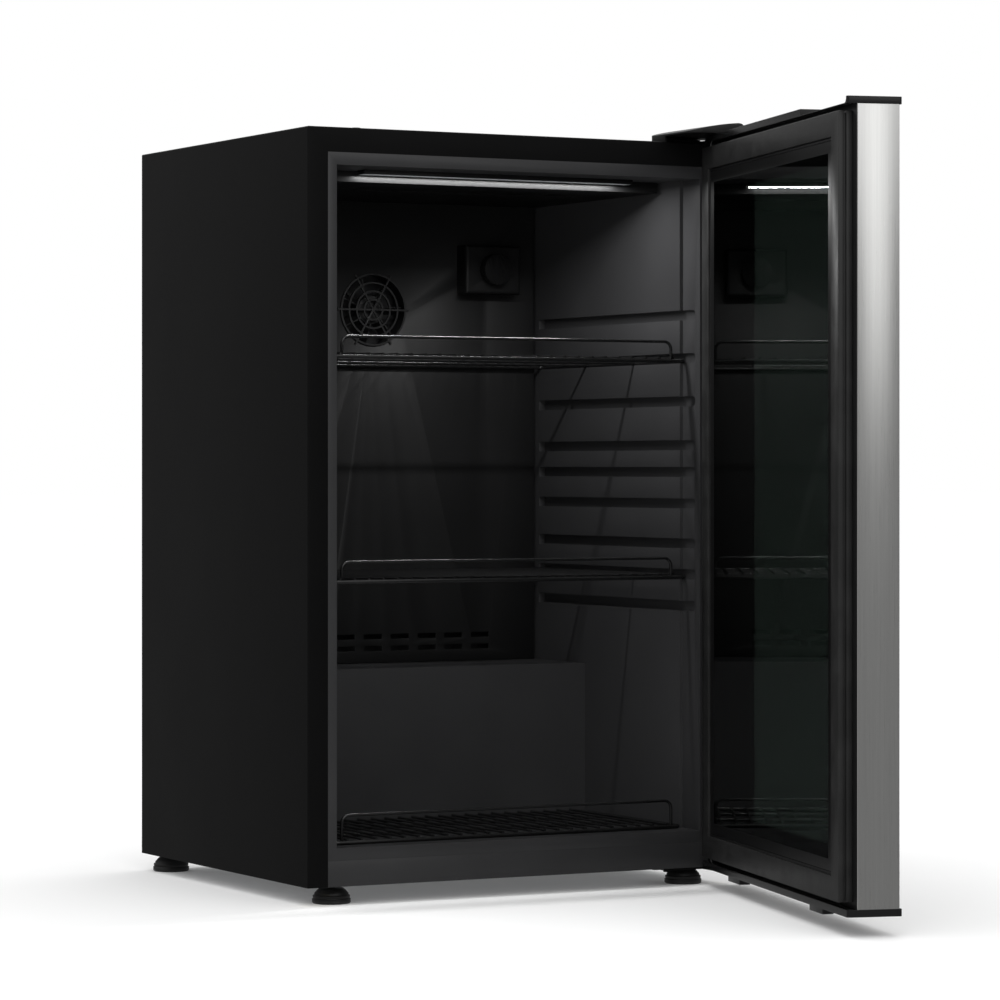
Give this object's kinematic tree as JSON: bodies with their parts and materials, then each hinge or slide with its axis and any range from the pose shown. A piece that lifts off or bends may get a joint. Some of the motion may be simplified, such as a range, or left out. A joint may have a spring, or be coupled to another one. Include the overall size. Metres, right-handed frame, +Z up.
{
  "type": "mini fridge",
  "caption": "Under-counter mini fridge with a black cabinet, a right-hinged steel-framed glass door standing open, wire shelves, a ceiling lamp strip and levelling feet.",
  "frame": {"origin": "centre of the cabinet's underside, 20 mm above the floor", "axes": "+Z up, -Y out of the front towards the user, +X to the right of a person facing the front; the door is hinged on the +X side"},
  "size_m": [0.5462, 1.0003, 0.859],
  "materials": {
    "black_steel": "satin",
    "zinc_steel": "satin",
    "trim_steel": "satin",
    "liner_plastic": "satin",
    "black_plastic": "satin",
    "foam": "matte",
    "gasket_rubber": "matte",
    "foot_rubber": "matte",
    "wire_black": "gloss",
    "compressor_black": "gloss",
    "hinge_steel": "satin",
    "copper": "satin",
    "aluminium": "satin",
    "outer_pane": "gloss",
    "inner_pane": "gloss",
    "lens": "gloss",
    "led_board": "satin",
    "white_plastic": "satin"
  },
  "bodies": {
    "cabinet": {"back_panel": "zinc_steel", "base_pan": "zinc_steel", "bay_partition": "zinc_steel", "bottom_hinge_bracket": "black_steel", "bottom_hinge_pin": "hinge_steel", "bottom_rack_deck": "wire_black", "bottom_rack_rail": "wire_black", "cabinet_wrapper": "black_steel", "capillary_tube": "copper", "ceiling_duct": "black_plastic", "compressor": "compressor_black", "compressor_base_plate": "zinc_steel", "compressor_bolts": "zinc_steel", "compressor_grommets": "gasket_rubber", "condenser_brackets": "zinc_steel", "condenser_coil": "wire_black", "condenser_wires": "wire_black", "cord_gland": "gasket_rubber", "discharge_line": "copper", "drain_tube": "gasket_rubber", "evaporation_pan": "black_plastic", "evaporator": "aluminium", "fan_frame": "black_plastic", "fan_guard": "black_plastic", "filter_drier": "copper", "foam_insulation": "foam", "foot_nuts": "zinc_steel", "front_crossbar": "liner_plastic", "hinge_hole_plugs": "black_plastic", "hinge_screws": "black_steel", "inner_liner": "liner_plastic", "lamp_housing": "black_plastic", "lamp_lens": "lens", "led_strip": "led_board", "lower_shelf_deck": "wire_black", "lower_shelf_rail": "wire_black", "rear_duct_cover": "black_plastic", "rear_feet": "foot_rubber", "relay_cover": "black_plastic", "suction_line": "copper", "thermostat_housing": "black_plastic", "thermostat_switch": "black_plastic", "top_hinge_bracket": "black_steel", "top_hinge_cover": "black_plastic", "top_hinge_pin": "hinge_steel", "upper_shelf_deck": "wire_black", "upper_shelf_rail": "wire_black"},
    "door": {"door_frame": "black_plastic", "door_trim": "trim_steel", "outer_glass": "outer_pane", "inner_glass": "inner_pane", "glazing_seal": "gasket_rubber", "door_gasket": "gasket_rubber", "door_top_cap": "black_plastic", "door_bottom_cap": "black_plastic", "hinge_bushes": "white_plastic"},
    "fan": {"fan_rotor": "black_plastic"},
    "knob": {"thermostat_knob": "black_plastic"},
    "left_foot": {"front_foot_left": "foot_rubber"},
    "right_foot": {"front_foot_right": "foot_rubber"}
  },
  "joints": [
    {"name": "door_hinge", "type": "hinge", "parent": "cabinet", "child": "door", "pos_m": [0.245, -0.2545, 0.41], "axis": [0, 0, 1], "range_deg": [-75, 40]},
    {"name": "fan_spin", "type": "hinge", "parent": "cabinet", "child": "fan", "pos_m": [0, 0.16, 0.64], "axis": [0, 1, 0], "continuous": true},
    {"name": "thermostat_turn", "type": "hinge", "parent": "cabinet", "child": "knob", "pos_m": [0.15, 0.115, 0.69], "axis": [0, 1, 0], "range_deg": [0, 270]},
    {"name": "left_foot_screw", "type": "hinge", "parent": "cabinet", "child": "left_foot", "pos_m": [-0.222, -0.1995, -0.01], "axis": [0, 0, 1], "range_deg": [0, 1800]},
    {"name": "right_foot_screw", "type": "hinge", "parent": "cabinet", "child": "right_foot", "pos_m": [0.222, -0.1995, -0.01], "axis": [0, 0, 1], "range_deg": [0, 1800]}
  ]
}
